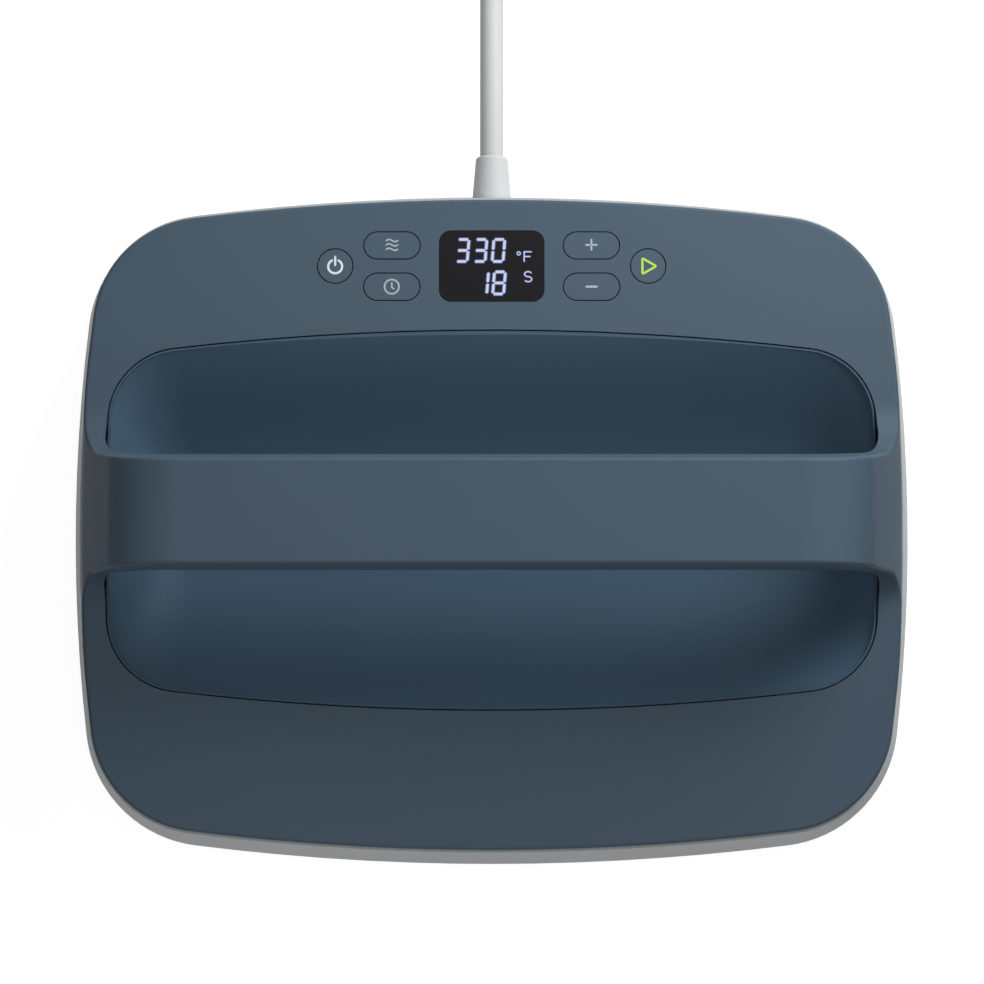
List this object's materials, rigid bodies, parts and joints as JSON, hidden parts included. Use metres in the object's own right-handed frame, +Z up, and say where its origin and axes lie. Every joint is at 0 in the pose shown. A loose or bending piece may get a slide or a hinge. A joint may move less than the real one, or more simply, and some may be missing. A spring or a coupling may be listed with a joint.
{
  "type": "handheld heat press",
  "caption": "Handheld heat press: bridge handle over a scooped recess, control panel on the rear deck, heated plate below, mains lead at the back.",
  "frame": {"origin": "middle of the press on the plane of the heated plate's working face", "axes": "+X to the right along the handle, +Y to the rear where the lead leaves, +Z up"},
  "size_m": [0.3366, 0.5542, 0.105],
  "materials": {
    "cover_blue": "fine satin grain",
    "housing_grey": "fine satin grain",
    "key_blue": "satin",
    "window_dark": "polished",
    "cord_white": "satin",
    "boot_white": "satin",
    "tie_black": "satin",
    "plate_coated": "coated, satin",
    "steel": "satin",
    "zinc_sheet": "mill finish",
    "sink_metal": "extruded",
    "brass": "satin",
    "seal_black": "matt",
    "blanket_white": "felted",
    "board_green": "lacquered",
    "part_black": "moulded",
    "part_blue": "moulded",
    "wire_red": "smooth",
    "wire_grey": "smooth"
  },
  "bodies": {
    "press": {"top_cover": "cover_blue", "grip_tray": "cover_blue", "handle_underside": "cover_blue", "lower_housing": "housing_grey", "display_window": "window_dark", "cord_strain_relief": "boot_white", "power_cord": "cord_white", "cord_coil": "cord_white", "coil_tie": "tie_black", "plug_body": "boot_white", "plug_blades": "brass", "plug_ground_pin": "brass", "heat_plate": "plate_coated", "heating_element": "steel", "element_terminals": "brass", "plate_spacers": "steel", "plate_screws": "steel", "plate_seal": "seal_black", "insulation_blanket": "blanket_white", "heat_shield": "zinc_sheet", "shield_screws": "steel", "thermal_cutout": "part_black", "thermal_fuse": "zinc_sheet", "temperature_sensor": "zinc_sheet", "display_module": "part_black", "control_board": "board_green", "key_switches": "part_black", "control_board_screws": "steel", "power_board": "board_green", "board_standoffs": "brass", "power_board_screws": "steel", "relay": "part_blue", "filter_capacitor": "part_blue", "heat_sink": "sink_metal", "power_switch_device": "part_black", "mains_fuse": "part_black", "transformer": "part_black", "beeper": "part_black", "terminal_block": "part_black", "cord_clamp": "part_black", "clamp_screws": "steel", "mains_leads": "wire_grey", "heater_leads": "wire_red", "ribbon_cable": "wire_grey", "tray_screws": "steel", "handle_screws": "steel", "housing_screws": "steel"},
    "power_key": {"power_button": "key_blue", "power_switch_plunger": "part_black"},
    "temperature_key": {"temperature_button": "key_blue", "temperature_switch_plunger": "part_black"},
    "timer_key": {"timer_button": "key_blue", "timer_switch_plunger": "part_black"},
    "plus_key": {"plus_button": "key_blue", "plus_switch_plunger": "part_black"},
    "minus_key": {"minus_button": "key_blue", "minus_switch_plunger": "part_black"},
    "start_key": {"start_button": "key_blue", "start_switch_plunger": "part_black"}
  },
  "joints": [
    {"name": "power_press", "type": "slide", "parent": "press", "child": "power_key", "axis": [0, -0.0872, -0.9962], "range_m": [0, 0.0008], "stiffness_N_per_m": 1500},
    {"name": "temperature_press", "type": "slide", "parent": "press", "child": "temperature_key", "axis": [0, -0.0872, -0.9962], "range_m": [0, 0.0008], "stiffness_N_per_m": 1500},
    {"name": "timer_press", "type": "slide", "parent": "press", "child": "timer_key", "axis": [0, -0.0872, -0.9962], "range_m": [0, 0.0008], "stiffness_N_per_m": 1500},
    {"name": "plus_press", "type": "slide", "parent": "press", "child": "plus_key", "axis": [0, -0.0872, -0.9962], "range_m": [0, 0.0008], "stiffness_N_per_m": 1500},
    {"name": "minus_press", "type": "slide", "parent": "press", "child": "minus_key", "axis": [0, -0.0872, -0.9962], "range_m": [0, 0.0008], "stiffness_N_per_m": 1500},
    {"name": "start_press", "type": "slide", "parent": "press", "child": "start_key", "axis": [0, -0.0872, -0.9962], "range_m": [0, 0.0008], "stiffness_N_per_m": 1500}
  ]
}
